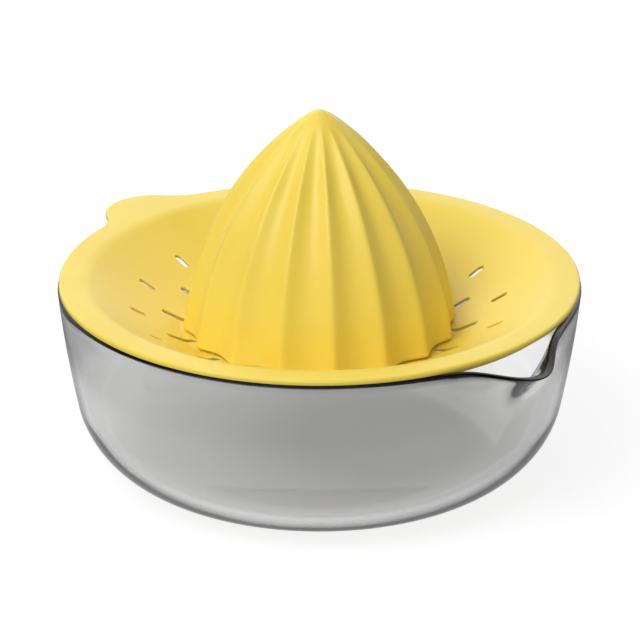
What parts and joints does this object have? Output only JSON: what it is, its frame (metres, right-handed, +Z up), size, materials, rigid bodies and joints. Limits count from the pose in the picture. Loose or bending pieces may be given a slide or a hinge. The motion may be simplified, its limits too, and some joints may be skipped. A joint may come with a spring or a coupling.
{
  "type": "citrus reamer",
  "caption": "Hand citrus reamer: glass bowl with a pouring lip, yellow slotted strainer with a thumb tab resting on its rim, and a fluted cone that lifts off.",
  "frame": {"origin": "middle of the bowl's flat foot, on the table", "axes": "+Z up, +X from the middle towards the pouring lip, thumb tab towards -X"},
  "size_m": [0.1601, 0.1404, 0.1009],
  "materials": {
    "clear_glass": "clear, polished, with a dark polished rim line",
    "yellow_plastic": "satin moulded yellow plastic"
  },
  "bodies": {
    "bowl": {"glass_bowl": "clear_glass"},
    "strainer": {"strainer": "yellow_plastic"},
    "cone": {"reamer_cone": "yellow_plastic"}
  },
  "joints": [
    {"name": "strainer_lift", "type": "slide", "parent": "bowl", "child": "strainer", "axis": [0, 0, 1], "range_m": [0, 0.03]},
    {"name": "cone_lift", "type": "slide", "parent": "strainer", "child": "cone", "axis": [0, 0, 1], "range_m": [0, 0.05]}
  ]
}
